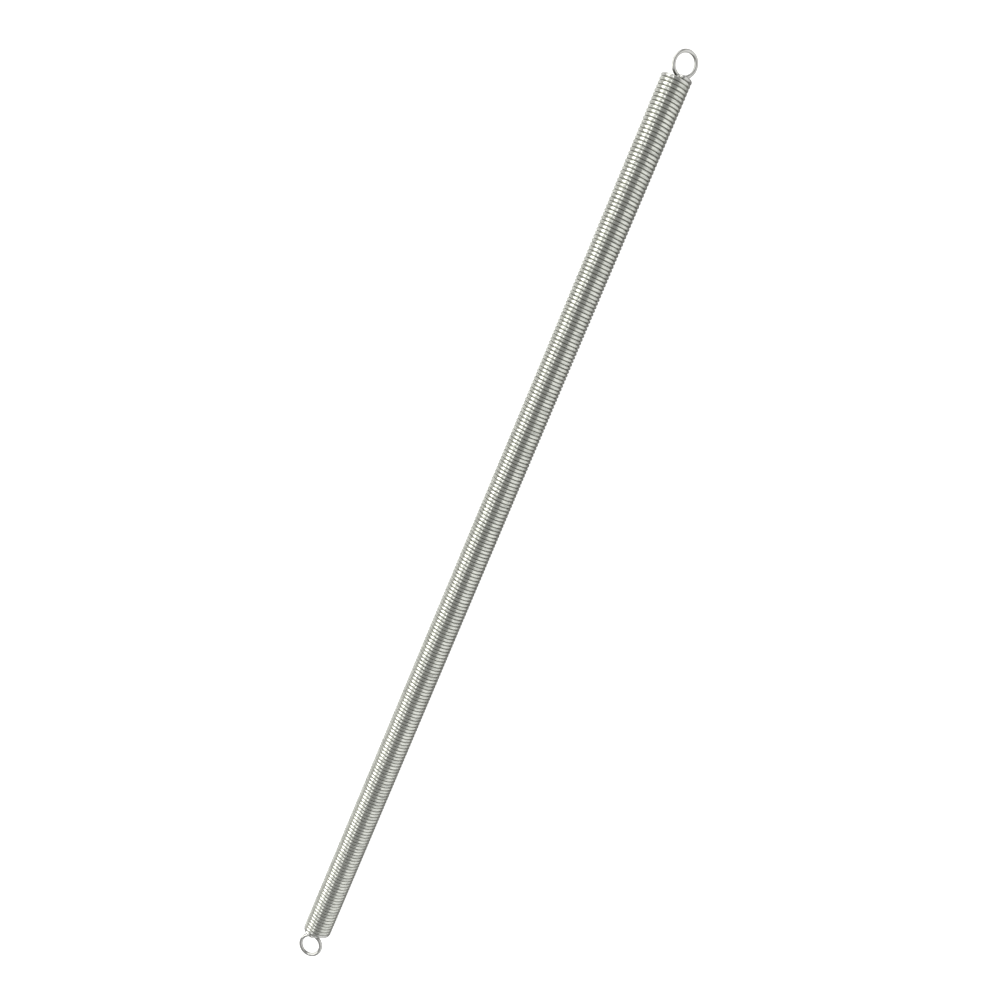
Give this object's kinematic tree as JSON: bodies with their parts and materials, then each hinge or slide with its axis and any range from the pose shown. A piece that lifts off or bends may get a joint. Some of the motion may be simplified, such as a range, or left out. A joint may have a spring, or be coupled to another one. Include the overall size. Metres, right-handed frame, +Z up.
{
  "type": "extension spring",
  "caption": "Long close-wound extension spring of bright plated wire with a full-loop eye at each end, pulled between two hooks or pins.",
  "frame": {"origin": "middle of the spring's length, on its axis in plan, at the height of the surface that it lies on", "axes": "+X along the spring towards its near eye, +Z up, away from the surface that it lies on"},
  "size_m": [0.4322, 0.0126, 0.0127],
  "materials": {
    "plated_wire": "bright plated spring wire, smooth and glossy, with fine drawing marks"
  },
  "bodies": {
    "root": {"spring": "plated_wire"}
  },
  "joints": []
}
